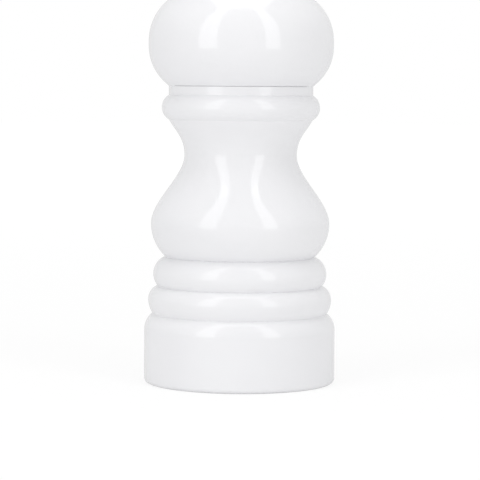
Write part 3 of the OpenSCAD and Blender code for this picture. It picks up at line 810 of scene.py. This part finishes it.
@dataclass
class TurnedBody:
    """The lacquered body with the sleeve that the head turns in."""

    foot_r: float = 25.0
    foot_edge_r: float = 1.2
    foot_wall_z: float = 14.0
    grooves: tuple[Point, ...] = ((22.85, 18.15), (21.55, 25.35), (19.55, 33.0))
    ring_apexes: tuple[Point, ...] = ((24.0, 21.85), (22.7, 28.5))
    belly: Point = (23.35, 41.7)
    waist: Point = (14.7, 59.55)
    bead_low: Point = (18.75, 68.75)
    bead_apex: Point = (20.65, 71.975)
    collar: Point = (18.85, 75.2)
    # The curves' handles as shares of their height: over belly, under and over waist, and under bead.
    pulls: tuple[float, ...] = (0.33, 0.31, 0.5, 0.325)
    bead_lean: float = 0.52
    rim_z: float = 77.5
    recess_r: float = 20.4
    recess_chamfer: float = 0.7
    ledge_z: float = 6.0
    housing_bore: Point = (14.15, 24.5)
    chamber_r: float = 10.5
    sleeve_r: Point = (12.36, 13.26)
    sleeve_z: float = 68.6
    flange_r: float = 17.3
    flange_z: Point = (76.65, 77.55)
    screw_hole_r: float = 1.55
    screw_hole_z: Point = (3.0, 14.8)
    seated: float = 0.05

    def build(self) -> None:
        """Build the shell and the sleeve."""
        self.shell()
        self.bearing()

    def outside(self) -> list[Point]:
        """Follow the turned outside.

        Returns:
            The points from the foot's edge to the rim.
        """
        edge, (belly_r, belly_z), (waist_r, waist_z) = self.foot_edge_r, self.belly, self.waist
        (bead_r, bead_z), (apex_0, apex_1), (low, mid, high) = self.bead_low, self.ring_apexes, self.grooves
        rise, flare = waist_z - belly_z, bead_z - waist_z
        over_belly, under_waist, over_waist, under_bead = self.pulls
        drop = under_bead * flare
        return [
            *round_arc((self.foot_r - edge, edge), edge, -90.0, 0.0),
            *turned_arc((self.foot_r, self.foot_wall_z), low),
            *ring_side(low, apex_0, mid),
            *ring_side(mid, apex_1, high),
            *turned_arc(self.belly, high)[::-1],
            *swept_curve(
                self.belly, (belly_r, belly_z + over_belly * rise),
                (waist_r, waist_z - under_waist * rise), self.waist,
            ),
            *swept_curve(
                self.waist, (waist_r, waist_z + over_waist * flare),
                (bead_r - self.bead_lean * drop, bead_z - drop), self.bead_low, steps=30,
            ),
            *ring_side(self.bead_low, self.bead_apex, self.collar),
            (self.collar[0], self.rim_z),
        ]

    def shell(self) -> None:
        """Turn the body, lacquered outside and raw in its bores."""
        flange_r, sleeve_r = self.flange_r + self.seated, self.sleeve_r[1] + self.seated
        (bore_r, bore_z), inner_r = self.housing_bore, self.chamber_r
        shape = Outline().draw(*self.outside()).draw(
            *stepped(flange_r, self.rim_z, flange_r, self.flange_z[0], sleeve_r, self.sleeve_z, inner_r),
            (inner_r, bore_z + bore_r - inner_r),
            *stepped(bore_r, bore_z, bore_r, self.ledge_z, self.recess_r, self.recess_chamfer), coat=1,
        ).draw((self.recess_r + self.recess_chamfer, 0.0))
        blank = Blank().spin(shape.eased(0.1, steps=4), steps=192)
        blank.drill(BAR_SCREWS, self.screw_hole_r, self.screw_hole_z, tip=self.screw_hole_r, coat=1)
        blank.piece("turned_body", Body.MILL, "body_shell", LACQUER, BEECH)

    def bearing(self) -> None:
        """Turn the flanged sleeve in the neck."""
        (inner, outer), (low, high) = self.sleeve_r, self.flange_z
        levels = (inner, self.sleeve_z, outer, low, self.flange_r, high, inner)
        blank = Blank().turn(*levels, reach=0.15, steps=128)
        blank.piece("neck_sleeve", Body.MILL, "neck_bearing", ACETAL)


@dataclass
class Screw:
    """A slotted wood screw that points up, with a helical thread and a gimlet point."""

    head: list[Point]
    radius: float
    top_z: float
    slot: Point
    depth: float = 0.35
    pitch: float = 1.2
    # As shares of the radius: the point's length, and how far under its end the thread stops.
    point: float = 1.6
    thread_stop: float = 0.4
    # As shares of the pitch: how far over the head the thread starts, and half its width.
    thread_start: float = 0.6
    thread_half: float = 0.25
    last_crest: float = 0.3
    # How far the slot's cutter stands out of the head.
    beyond: float = 1.0

    def make(self, spots: Iterable[Point], angles: Iterable[float]) -> Blank:
        """Make the same screw for several spots.

        Args:
            spots: Where the screws stand.
            angles: Direction of each one's slot, in degrees.

        Returns:
            The blank.
        """
        root, seat_z, pitch = self.radius - self.depth, self.head[-1][1], self.pitch
        tip_z, start = self.top_z - self.point * self.radius, seat_z + self.thread_start * pitch
        rise = self.top_z - self.thread_stop * self.radius - start

        def tapered(r: float, _: float, z: float) -> float:
            """Return the radius of the thread, which grows from nothing and draws in at the point."""
            left, grown = held((self.top_z - z) / (self.top_z - tip_z)), held((z - start) / pitch)
            return root * left + (r - root) * grown * (self.last_crest + (1.0 - self.last_crest) * left)

        half = (self.depth, self.thread_half * pitch)
        (width, deep), beyond = self.slot, self.beyond
        middle = Vector((0.0, 0.0, self.head[0][1] + (deep - beyond) / 2.0))
        size = Vector((width, 4.0 * self.radius + 2.0 * beyond, deep + beyond))
        shape = Outline().draw(*self.head, (root, seat_z), (root, tip_z), (0.0, self.top_z)).eased(0.08)
        made = Blank()
        for spot, angle in zip(spots, angles):
            slot = Blank()
            bmesh.ops.create_cube(slot.bm, size=1.0, matrix=Matrix.LocRotScale(middle * MM, None, size * MM))
            thread = Blank().coil((root, start), half, [(rise / pitch, rise)], sides=4, steps=20)
            screw = Blank().spin(shape, steps=40).cut(slot).join(thread.mill(tapered).weld())
            turned = Matrix.Rotation(math.radians(angle), 4, "Z")
            move = Matrix.Translation(Vector((*spot, 0.0)) * MM) @ turned
            bmesh.ops.transform(screw.bm, matrix=move, verts=screw.bm.verts)
            made.join(screw)
        return made


@dataclass(frozen=True)
class Teeth:
    """Milled teeth on a cone. Their lean is how far they run round, in radians, for 1 mm up the cone."""

    count: int
    depth: float
    lean: float
    steep: float = 0.3

    def cut(self, angle: float, up: float) -> float:
        """Return the cutter's depth at an angle and a distance up the cone."""
        phase = (self.count * (angle + up * self.lean) / TURN) % 1.0
        return self.depth * min(phase / (1.0 - self.steep), (1.0 - phase) / self.steep)


def square_side(half: float, angle: float) -> float:
    """Return a square's radius at an angle, where half is half its width."""
    return half / max(abs(math.cos(angle)), abs(math.sin(angle)))


def broached(r: float, angle: float, half: float, reach: float = 0.6) -> float:
    """Return the radius that a broach gives a point round a hole, within its reach of half its width."""
    return r + (square_side(half, angle) - half) * held(1.0 - (r - half) / reach)


@dataclass
class Grinder:
    """The fixed half of the grinder, under and inside the foot."""

    bar_top_z: float = 4.8
    ledge_z: float = 6.0
    flange_r: float = 20.1
    cup_r: Point = (13.1, 14.1)
    cup_top_z: Point = (17.9, 18.9)
    shoulder_r: float = 0.8
    lip_r: float = 11.6
    burr_r: float = 13.05
    outlet_r: float = 10.978
    throat: Point = (8.9, 8.4)
    mouth: Point = (11.2, 15.9)
    fine: Teeth = Teeth(36, 0.46, -0.04)
    fine_fade: float = 0.4
    flutes: Teeth = Teeth(12, 1.0, -0.047, 0.25)
    flute_fade: float = 4.6875
    screw_hole_r: float = 1.6
    screw_hole_z: Point = (4.0, 7.0)
    screw_r: float = 1.5
    screw_z: Triple = (1.6, 3.3, 14.3)
    screw_dome: Point = (2.7, 1.133)
    screw_slot: Point = (0.8, 0.8)
    slot_angles: Point = (24.0, -11.0)

    def build(self) -> None:
        """Build the cup, the burr, the stamped fittings and the screws."""
        self.cup()
        self.burr()
        for name, node, coat, edge in (
            ("stamped_stirrup", "bearing_stirrup", ZINC, 0.12),
            ("stamped_bottom_bar", "bottom_bar", ZINC, 0.15),
            ("burr_pins", "locating_pins", HARDENED, 0.1),
        ):
            Blank().stamp(node, edge).piece(name, Body.MILL, node, coat)
        self.screws()

    def cup(self) -> None:
        """Press the housing: a flanged cup with a rounded shoulder and two screw holes."""
        (inner, outer), (low, high), bend = self.cup_r, self.cup_top_z, self.shoulder_r
        shape = Outline().draw(
            *stepped(inner, self.bar_top_z, self.flange_r, self.ledge_z, outer),
            *round_arc((outer - bend, high - bend), bend, 0.0, 90.0),
            *stepped(self.lip_r, high, self.lip_r, low, inner),
        )
        blank = Blank().spin(shape.eased(0.12), steps=128)
        blank.drill(BAR_SCREWS, self.screw_hole_r, self.screw_hole_z)
        blank.piece("grinder_cup", Body.MILL, "mechanism_housing", ZINC)

    def burr(self) -> None:
        """Turn the ring burr and mill its teeth and flutes."""
        shape = Outline().draw(
            (self.burr_r, self.bar_top_z), (self.burr_r, self.mouth[1]),
            *line(self.mouth, self.throat, steps=18),
            *line(self.throat, (self.outlet_r, self.bar_top_z), steps=10),
        )
        blank = Blank().spin(shape, steps=288).mill(self.milled).weld()
        blank.piece("ring_burr", Body.MILL, "fixed_burr", HARDENED)

    def milled(self, r: float, angle: float, z: float) -> float:
        """Mill fine teeth below the throat and flutes over it.

        Args:
            r: Radius.
            angle: Angle.
            z: Height.

        Returns:
            The new radius.
        """
        up = z - self.throat[1]
        if r > self.mouth[0] + NEAR:
            return r
        if up <= 0.0:
            return r + held(-up / self.fine_fade) * self.fine.cut(angle, z - self.bar_top_z)
        return r + held(up / self.flute_fade) * self.flutes.cut(angle, up)

    def screws(self) -> None:
        """Make the bar's two round-head screws."""
        (low, seat_z, top), (head_r, dome) = self.screw_z, self.screw_dome
        arc = [(head_r * math.cos(a), low + dome * (1.0 - math.sin(a))) for a in spaced(TURN / 4.0, 0.0, 10)]
        screw = Screw([(0.0, low), *arc[1:], (head_r, seat_z)], self.screw_r, top, self.screw_slot)
        screw.make(BAR_SCREWS, self.slot_angles).piece("bar_screws", Body.MILL, "bottom_bar_screws", BRIGHT)


@dataclass
class Drive:
    """What turns with the shaft but doesn't lift: the square-holed bush, and the spring under it."""

    half_hole: float = 3.05
    bush_r: float = 5.2
    flange_r: float = 6.3
    levels: Triple = (20.14, 21.24, 23.5)
    wire_r: float = 0.5
    coil_r: float = 5.4
    end_turn: float = 1.1
    spring_z: Point = (13.02, 20.12)

    def build(self) -> None:
        """Build the bush and the spring."""
        self.bush()
        self.spring()

    def bush(self) -> None:
        """Turn the bush and broach its square hole."""
        (low, flange_z, high), half = self.levels, self.half_hole
        blank = Blank().turn(half, low, self.flange_r, flange_z, self.bush_r, high, half, reach=0.14)
        blank.mill(lambda r, angle, _: broached(r, angle, half))
        blank.piece("square_bush", Body.DRIVE, "guide_bush", BRASS)

    def spring(self) -> None:
        """Wind the spring with a closed turn at each end."""
        (low, high), wire, closed = self.spring_z, self.wire_r, self.end_turn
        stages = [(1.0, closed), (2.0, high - low - 2.0 * wire - 2.0 * closed), (1.0, closed)]
        blank = Blank().coil((self.coil_r, low + wire), (wire, wire), stages, sides=14, steps=48).weld()
        made = blank.piece("burr_spring_coil", None, "burr_spring", TEMPERED)
        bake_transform(made)


@dataclass
class Spindle:
    """The shaft and what it carries: burr, washer and clip."""

    ends_z: Point = (2.2, 115.8)
    journal: Point = (2.5, 0.3)
    groove: Triple = (2.0, 5.95, 6.7)
    half_square: float = 3.0
    corner_r: float = 4.08
    square_z: Point = (7.2, 100.8)
    square_from_r: float = 2.55
    thread: Triple = (2.46, 0.54, 1.0)
    thread_half: float = 0.44
    lead_in: float = 0.5
    lead_out: float = 0.6
    end_chamfer: float = 0.4
    half_hole: float = 3.05
    rim: Point = (9.901, 5.8)
    rim_lip: float = 0.6
    fine_top: Point = (8.169, 8.8)
    disc: Point = (6.2, 12.0)
    burr_top_z: float = 13.0
    recess: Point = (5.6, 7.2)
    fine: Teeth = Teeth(32, 0.46, 0.4 / 9.0)
    fine_fade: float = 0.5
    flutes: Teeth = Teeth(7, 1.25, 0.096875)
    flute_fades: Point = (3.2 / 3.0, 0.8)
    washer_r: Point = (2.6, 5.3)
    washer_z: Point = (6.7, 7.2)

    def build(self) -> None:
        """Build the shaft, the burr, the washer and the clip."""
        self.shaft()
        self.burr()
        (inner, outer), (low, high) = self.washer_r, self.washer_z
        washer = Blank().turn(inner, low, outer, high, inner, reach=0.08, steps=72)
        washer.piece("plain_washer", Body.SPINDLE, "burr_washer", BRIGHT)
        Blank().stamp("retaining_clip", 0.08).piece("e_clip", Body.SPINDLE, "retaining_clip", TEMPERED)

    def shaft(self) -> None:
        """Make the square shaft with its turned corners, its journal and its thread."""
        (low, high), (shoulder, thread_z), (root, depth, pitch) = self.ends_z, self.square_z, self.thread
        (journal_r, chamfer), (neck, neck_low, neck_high), end = self.journal, self.groove, self.end_chamfer
        shape = Outline().draw(
            (0.0, low), (journal_r - chamfer, low), (journal_r, low + chamfer),
            *stepped(journal_r, neck_low, neck, neck_high, journal_r, shoulder, self.half_square, thread_z),
            (root, thread_z + self.lead_in), (root, high - end), (root - end, high), (0.0, high),
        )
        start = thread_z + self.lead_in * pitch
        turns = (high - self.lead_out * pitch - start) / pitch
        half = (depth, self.thread_half * pitch)
        thread = Blank().coil((root, start), half, [(turns, turns * pitch)], sides=4, steps=48)
        blank = Blank().spin(shape.eased(0.1), steps=128).mill(self.milled_square).weld()
        blank.join(thread.mill(self.run_out).weld()).piece("square_shaft", Body.SPINDLE, "shaft", DRAWN)

    def milled_square(self, r: float, angle: float, z: float) -> float:
        """Return the radius of the shaft's square, whose corners are left as they were turned."""
        milled = r > self.square_from_r and self.square_z[0] - NEAR <= z <= self.square_z[1] + NEAR
        side = min(square_side(self.half_square, angle), self.corner_r)
        return r / self.half_square * side if milled else r

    def run_out(self, r: float, _: float, z: float) -> float:
        """Return a thread's radius, which grows from nothing at both ends."""
        grown = held(min(z - self.square_z[1], self.ends_z[1] - z) / self.thread[2])
        return min(r, self.thread[0]) + max(0.0, r - self.thread[0]) * grown

    def burr(self) -> None:
        """Turn the cone burr, broach its hole, and mill its teeth and flutes."""
        (rim_r, rim_z), (recess_r, recess_z) = self.rim, self.recess
        shape = Outline().draw(
            self.recess, (recess_r, rim_z), (rim_r - self.rim_lip, rim_z),
            *line(self.rim, self.fine_top, steps=10), *line(self.fine_top, self.disc, steps=14),
            *stepped(self.disc[0], self.burr_top_z, self.half_hole, recess_z),
        )
        blank = Blank().spin(shape, steps=224).mill(self.milled_cone).weld()
        blank.piece("cone_burr", Body.SPINDLE, "moving_burr", HARDENED)

    def milled_cone(self, r: float, angle: float, z: float) -> float:
        """Mill fine teeth low on the cone and flutes over them, and broach the hole.

        Args:
            r: Radius.
            angle: Angle.
            z: Height.

        Returns:
            The new radius.
        """
        (rim_r, rim_z), (fine_r, fine_z), (_, disc_z) = self.rim, self.fine_top, self.disc
        if r < self.recess[0] - NEAR or z > disc_z + NEAR:
            return broached(r, angle, self.half_hole)
        if z > fine_z:
            start, stop = self.flute_fades
            fade = held(min((z - fine_z) / start, (disc_z - z) / stop))
            return r - fade * self.flutes.cut(angle, z - fine_z)
        if r < fine_r or r < rim_r - self.rim_lip / 2.0 and z < rim_z + NEAR:
            return r
        return r - held((fine_z - z) / self.fine_fade) * self.fine.cut(angle, z - rim_z)


@dataclass
class TurnedHead:
    """The lacquered head with its ferrule and drive plate."""

    seam_z: float = 77.55
    rim_r: Point = (18.9, 19.4)
    rim_rise: float = 0.5
    widest: Point = (24.15, 88.55)
    fullness: float = 2.25
    seat: Point = (8.2, 104.75)
    spigot: Point = (12.3, 68.9)
    bore_r: float = 4.6
    plate_pocket: Point = (10.85, 70.5)
    ferrule_pocket: Point = (5.2, 98.25)
    ferrule_flange: Point = (7.8, 0.8)
    ferrule_tube: Point = (0.55, 6.0)
    ferrule_rolls: Point = (0.4, 0.5)
    screw_circle: float = 7.9
    screw_hole_r: float = 1.15
    screw_hole_z: Point = (70.0, 77.4)
    drill_tip: float = 1.0
    screw_head: tuple[Point, ...] = ((0.0, 68.9), (2.09, 68.9), (1.1, 69.89))
    screw_end: Point = (1.1, 77.9)
    screw_slot: Point = (0.6, 0.45)
    screw_pitch: float = 1.0
    slot_angles: Triple = (31.0, 84.0, -17.0)

    def build(self) -> None:
        """Build the shell, the ferrule, the drive plate and its screws."""
        spots = round_arc((0.0, 0.0), self.screw_circle, 0.0, 240.0, steps=2)
        self.shell(spots)
        self.ferrule()
        Blank().stamp("drive_plate", 0.1).piece("square_drive_plate", Body.HEAD, "drive_plate", ZINC)
        screw = Screw([*self.screw_head], *self.screw_end, self.screw_slot, pitch=self.screw_pitch)
        screw.make(spots, self.slot_angles).piece("plate_screws", Body.HEAD, "drive_plate_screws", BRASS)

    def shell(self, spots: list[Point]) -> None:
        """Turn the head, lacquered over its dome and raw below and in its bores.

        Args:
            spots: Where the drive plate's screws go in.
        """
        (rim_in, rim_out), (_, seat_z), (plate_r, plate_z) = self.rim_r, self.seat, self.plate_pocket
        (pocket_r, pocket_z), (spigot_r, spigot_z) = self.ferrule_pocket, self.spigot
        shape = Outline().draw(
            (rim_in, self.seam_z),
            *crowned(self.widest, (rim_out, self.seam_z + self.rim_rise), self.fullness)[::-1],
            *crowned(self.widest, self.seat, self.fullness, steps=70), (pocket_r, seat_z),
        ).draw(
            (pocket_r, seat_z - NEAR),
            *stepped(pocket_r, pocket_z, self.bore_r, plate_z, plate_r, spigot_z, spigot_r), coat=1,
        ).draw((spigot_r, self.seam_z))
        blank = Blank().spin(shape.eased(0.1, steps=4), steps=192)
        blank.drill(spots, self.screw_hole_r, self.screw_hole_z, tip=self.drill_tip, coat=1)
        blank.piece("turned_head", Body.HEAD, "head_shell", LACQUER, BEECH)

    def ferrule(self) -> None:
        """Draw the eyelet that lines the head's bore, with its rolled edges."""
        (flange_r, thick), (wall, deep) = self.ferrule_flange, self.ferrule_tube
        roll, bend = self.ferrule_rolls
        inner, seat_z, top = self.bore_r, self.seat[1], self.seat[1] + thick
        shape = Outline().draw(
            *stepped(inner, seat_z - deep, inner + wall, seat_z, flange_r),
            *round_arc((flange_r - roll, top - roll), roll, 0.0, 90.0, steps=6),
            *round_arc((inner + bend, top - bend), bend, 90.0, 180.0, steps=6),
        )
        Blank().spin(shape.eased(0.08)).piece("rolled_ferrule", Body.HEAD, "head_ferrule", NICKEL)


@dataclass
class Knob:
    """The ball knob with its threaded insert, and the washer that it seats on."""

    seat_z: float = 106.25
    top_z: float = 120.0
    ball_r: float = 6.5
    neck_r: float = 4.9
    flange: Point = (6.2, 1.3)
    cove: Point = (0.55, 0.9)
    insert_r: Point = (3.06, 4.1)
    insert_top_z: float = 117.05
    washer_r: Point = (3.15, 6.8)
    washer_height: float = 0.7
    seated: float = 0.05

    def build(self) -> None:
        """Build the washer, the knob and its insert."""
        (inner, outer), (bore, tube), seat_z = self.washer_r, self.insert_r, self.seat_z
        washer = Blank().turn(inner, seat_z - self.washer_height, outer, seat_z, inner, reach=0.15)
        washer.piece("slip_washer", Body.SEAT, "knob_washer", ACETAL)
        self.ball()
        insert = Blank().turn(bore, seat_z, tube, self.insert_top_z, bore, reach=0.25, steps=72)
        insert.piece("threaded_insert", Body.BALL, "knob_insert", BRASS)

    def ball(self) -> None:
        """Turn the knob: a flange, a hollow neck and a ball."""
        (flange_r, thick), hole_r = self.flange, self.insert_r[1] + self.seated
        flange_z, (wide, tall) = self.seat_z + thick, self.cove
        below = math.degrees(math.acos(self.neck_r / self.ball_r))
        shape = Outline().draw(
            *stepped(hole_r, self.seat_z, flange_r, flange_z),
            *turned_arc((self.neck_r, flange_z + tall), (self.neck_r + wide, flange_z), steps=8)[::-1],
            *round_arc((0.0, self.top_z - self.ball_r), self.ball_r, -below, 90.0, steps=44),
            (0.0, self.insert_top_z), (hole_r, self.insert_top_z),
        )
        Blank().spin(shape.eased(0.3, steps=5), steps=144).piece("ball_knob", Body.BALL, "knob", NICKEL)


# ---------------- the studio


@dataclass
class Softbox:
    """A plain rectangular lamp that faces the mill. At level 1 it looks as bright as white paper."""

    name: str
    at: Triple
    aim: Triple
    size: Point
    level: float

    def hang(self) -> None:
        """Hang the lamp, with the power that its level takes."""
        lamp = bpy.data.lights.new(self.name, "AREA")
        lamp.shape, lamp.size, lamp.size_y = "RECTANGLE", *self.size
        lamp.energy = self.level * math.pi * self.size[0] * self.size[1]
        holder = bpy.data.objects.new(self.name, lamp)
        holder.location = self.at
        holder.rotation_euler = (Vector(self.aim) - Vector(self.at)).to_track_quat("-Z", "Y").to_euler()
        bpy.context.collection.objects.link(holder)


@dataclass
class Studio:
    """A white table in soft light: two tall softboxes in front and one overhead. Lengths here are metres."""

    lens: float = 166.5
    sensor: float = 36.0
    near: float = 0.01
    eye: Triple = (0.0, -0.5805, 0.0776)
    pitch: float = 3.968
    roll: float = 0.4
    room_level: float = 0.592
    strip_far: float = 0.6
    strip_height: float = 1.5
    # Each tall softbox's name, angle from the front in degrees, width and level.
    strips: tuple[tuple[str, float, float, float], ...] = (
        ("left_softbox", -41.0, 0.25, 1.63), ("right_softbox", 38.5, 0.2, 1.68),
    )
    top_at: Triple = (0.0, 0.0, 1.15)
    top_size: Point = (0.84, 0.84)
    top_level: float = 1.24
    floor_r: float = 4.0
    floor_z: float = -0.00002
    floor_colour: str = "#F8F8F8"
    floor_base: float = 0.2
    floor_glow: Point = (0.81, 0.89)
    floor_reach: Point = (0.1, 1.2)
    gloss_level: float = 0.81

    def build(self) -> None:
        """Set up the camera, the lamps, the room and the floor."""
        self.camera()
        far, middle = self.strip_far, self.strip_height / 2.0
        for name, angle, width, level in self.strips:
            turn = math.radians(angle)
            at = (far * math.sin(turn), -far * math.cos(turn), middle)
            Softbox(name, at, (0.0, 0.0, middle), (width, self.strip_height), level).hang()
        Softbox("overhead_softbox", self.top_at, (0.0, 0.0, 0.0), self.top_size, self.top_level).hang()
        self.room()
        self.floor()

    def camera(self) -> None:
        """Set the camera at the height of the head, looking slightly down."""
        data = bpy.data.cameras.new("camera")
        data.lens, data.sensor_width, data.clip_start = self.lens, self.sensor, self.near
        camera = bpy.data.objects.new("camera", data)
        tilt = Matrix.Rotation(math.radians(90.0 - self.pitch), 4, "X")
        tilt @= Matrix.Rotation(math.radians(self.roll), 4, "Z")
        camera.matrix_world = Matrix.Translation(self.eye) @ tilt
        bpy.context.collection.objects.link(camera)
        bpy.context.scene.camera = camera

    def seen(self, add: Adder, base: float = 1.0) -> Node:
        """Tell what the eye sees from what lights the mill.

        Args:
            add: Adds a node to the room's or the floor's tree.
            base: The level that is there without the share, or 1 for a plain yes in gloss as well.

        Returns:
            1 for what is seen straight or through glass, 0 for other light, and for gloss the share that
            lifts the base to gloss_level.
        """
        share = 1.0 if base == 1.0 else (self.gloss_level - base) / (1.0 - base)
        path = add("LightPath").outputs
        level = add("Math", {0: path["Is Glossy Ray"], 1: share}, operation="MULTIPLY")
        for ray in ("Is Camera Ray", "Is Transmission Ray"):
            level = add("Math", {0: level, 1: path[ray]}, operation="MAXIMUM")
        return level

    def room(self) -> None:
        """Make the room: white to the eye, a plain pale level to everything it lights."""
        world = bpy.data.worlds.new("room")
        add, low = adder(world), self.room_level
        level = add("MapRange", {"To Min": low, "To Max": 1.0, "Value": self.seen(add, low)})
        add("OutputWorld", {"Surface": add("Background", {"Color": grey(1.0), "Strength": level})})
        bpy.context.scene.world = world

    def floor(self) -> None:
        """Lay the floor: matt white paper that keeps the mill's shadow."""
        sheet, paper = Blank(), bpy.data.materials.new("white_paper")
        under = Matrix.Translation((0.0, 0.0, self.floor_z))
        bmesh.ops.create_circle(sheet.bm, cap_ends=True, segments=96, radius=self.floor_r, matrix=under)
        add, (near, far), (low, high) = adder(paper), self.floor_reach, self.floor_glow
        away = add("VectorMath", {0: add("TexCoord").outputs["Object"]}, operation="LENGTH").outputs["Value"]
        rise = add(
            "MapRange", {"From Min": near, "From Max": far, "To Min": low, "To Max": high, "Value": away}
        )
        level = add("Math", {0: rise, 1: self.seen(add, self.floor_base)}, operation="MULTIPLY")
        glow = add("Emission", {"Color": grey(1.0), "Strength": level})
        lit = add("AddShader", {0: add("BsdfDiffuse", {"Color": grey(self.floor_base)}), 1: glow})
        plain = add("BsdfDiffuse", {"Color": linear(self.floor_colour)})
        add("OutputMaterial", {"Surface": add("MixShader", {0: self.seen(add), 1: plain, 2: lit})})
        sheet.show("floor", paper)


def main() -> None:
    logging.basicConfig(level=logging.INFO, format="%(message)s")
    bpy.context.scene.view_settings.view_transform = "Standard"
    for part in (TurnedBody(), Grinder(), Drive(), Spindle(), TurnedHead(), Knob()):
        part.build()
    Studio().build()


if __name__ == "__main__":
    main()
